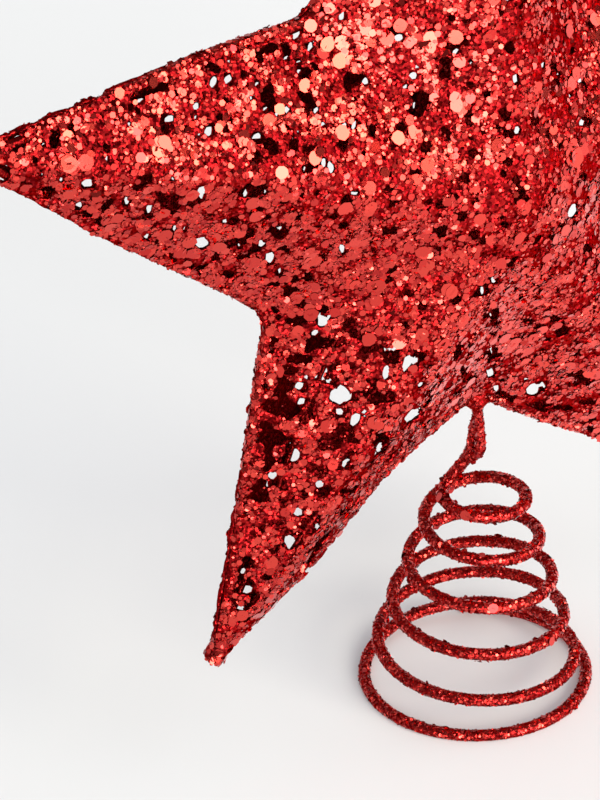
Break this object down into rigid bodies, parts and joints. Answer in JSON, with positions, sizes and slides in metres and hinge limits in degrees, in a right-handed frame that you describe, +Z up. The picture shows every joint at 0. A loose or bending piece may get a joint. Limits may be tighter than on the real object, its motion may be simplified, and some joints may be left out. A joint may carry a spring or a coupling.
{
  "type": "christmas tree topper star",
  "caption": "Hollow star-shaped tree topper of wires and openwork glitter web, on a short wire stem and a conical wire coil that slips over the tree's leader.",
  "frame": {"origin": "on the coil's axis, in the plane that the coil stands on", "axes": "+Z up along the coil's axis and the star's upright arm; the star's front faces -Y; +X to the right seen from the front"},
  "size_m": [0.1846, 0.0443, 0.2042],
  "materials": {
    "coil_glitter": "steel wire coated with fine red metallic glitter",
    "frame_glitter": "steel wire coated with red metallic glitter",
    "web_glitter": "openwork plastic web set with red metallic glitter flakes of mixed sizes",
    "bead_glitter": "clear red glue bead full of red metallic glitter"
  },
  "bodies": {
    "coil": {"mounting_coil": "coil_glitter"},
    "stem": {"stem_wire": "coil_glitter"},
    "star": {"tip_bead_top": "bead_glitter", "front_ridge_wire_top": "frame_glitter", "rear_ridge_wire_top": "frame_glitter", "edge_wire_top_left": "frame_glitter", "front_web_top_left": "web_glitter", "rear_web_top_left": "web_glitter", "edge_wire_top_right": "frame_glitter", "front_web_top_right": "web_glitter", "rear_web_top_right": "web_glitter", "tip_bead_left": "bead_glitter", "front_ridge_wire_left": "frame_glitter", "rear_ridge_wire_left": "frame_glitter", "edge_wire_left_lower": "frame_glitter", "front_web_left_lower": "web_glitter", "rear_web_left_lower": "web_glitter", "edge_wire_left_upper": "frame_glitter", "front_web_left_upper": "web_glitter", "rear_web_left_upper": "web_glitter", "tip_bead_lower_left": "bead_glitter", "front_ridge_wire_lower_left": "frame_glitter", "rear_ridge_wire_lower_left": "frame_glitter", "edge_wire_lower_left_inner": "frame_glitter", "front_web_lower_left_inner": "web_glitter", "rear_web_lower_left_inner": "web_glitter", "edge_wire_lower_left_outer": "frame_glitter", "front_web_lower_left_outer": "web_glitter", "rear_web_lower_left_outer": "web_glitter", "tip_bead_lower_right": "bead_glitter", "front_ridge_wire_lower_right": "frame_glitter", "rear_ridge_wire_lower_right": "frame_glitter", "edge_wire_lower_right_outer": "frame_glitter", "front_web_lower_right_outer": "web_glitter", "rear_web_lower_right_outer": "web_glitter", "edge_wire_lower_right_inner": "frame_glitter", "front_web_lower_right_inner": "web_glitter", "rear_web_lower_right_inner": "web_glitter", "tip_bead_right": "bead_glitter", "front_ridge_wire_right": "frame_glitter", "rear_ridge_wire_right": "frame_glitter", "edge_wire_right_upper": "frame_glitter", "front_web_right_upper": "web_glitter", "rear_web_right_upper": "web_glitter", "edge_wire_right_lower": "frame_glitter", "front_web_right_lower": "web_glitter", "rear_web_right_lower": "web_glitter"}
  },
  "joints": [
    {"name": "coil_sway", "type": "hinge", "parent": "coil", "child": "stem", "pos_m": [0, 0, 0.022], "axis": [0, 1, 0], "range_deg": [-12, 12], "stiffness_Nm_per_rad": 0.25, "deforming": ["mounting_coil"]},
    {"name": "neck_tilt", "type": "hinge", "parent": "stem", "child": "star", "pos_m": [0, 0, 0.0636], "axis": [1, 0, 0], "range_deg": [-12, 12]}
  ]
}
